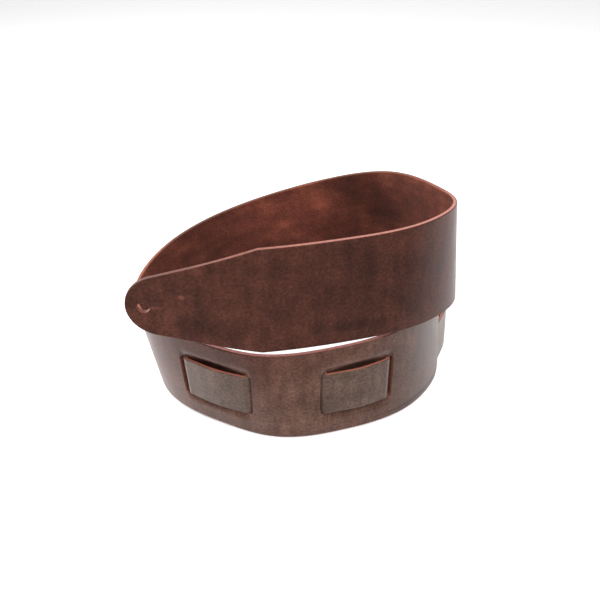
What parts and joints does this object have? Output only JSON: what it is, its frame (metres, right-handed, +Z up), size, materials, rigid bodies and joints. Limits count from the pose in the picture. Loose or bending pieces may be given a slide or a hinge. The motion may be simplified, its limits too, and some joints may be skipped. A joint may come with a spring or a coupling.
{
  "type": "leather instrument strap",
  "caption": "Wide leather instrument strap coiled on its edge, with a slit button hole at its tapered tip and a narrow adjusting tail woven through slots at the other end.",
  "frame": {"origin": "on the table, under the middle of the coiled strap's box", "axes": "+X to the viewer's right along the coil's longer side, +Y away from the slotted front, +Z up"},
  "size_m": [0.2512, 0.1826, 0.1631],
  "materials": {
    "strap_leather": "waxed dark brown grain",
    "tail_leather": "waxed dark brown grain"
  },
  "bodies": {
    "strap": {"main_strap": "strap_leather", "tail_weave": "tail_leather"},
    "tail_end": {"tail_free_end": "tail_leather"}
  },
  "joints": [
    {"name": "tail_slide", "type": "slide", "parent": "strap", "child": "tail_end", "axis": [-0.9925, 0.1219, 0], "range_m": [-0.03, 0.055], "deforming": ["tail_weave"]}
  ]
}
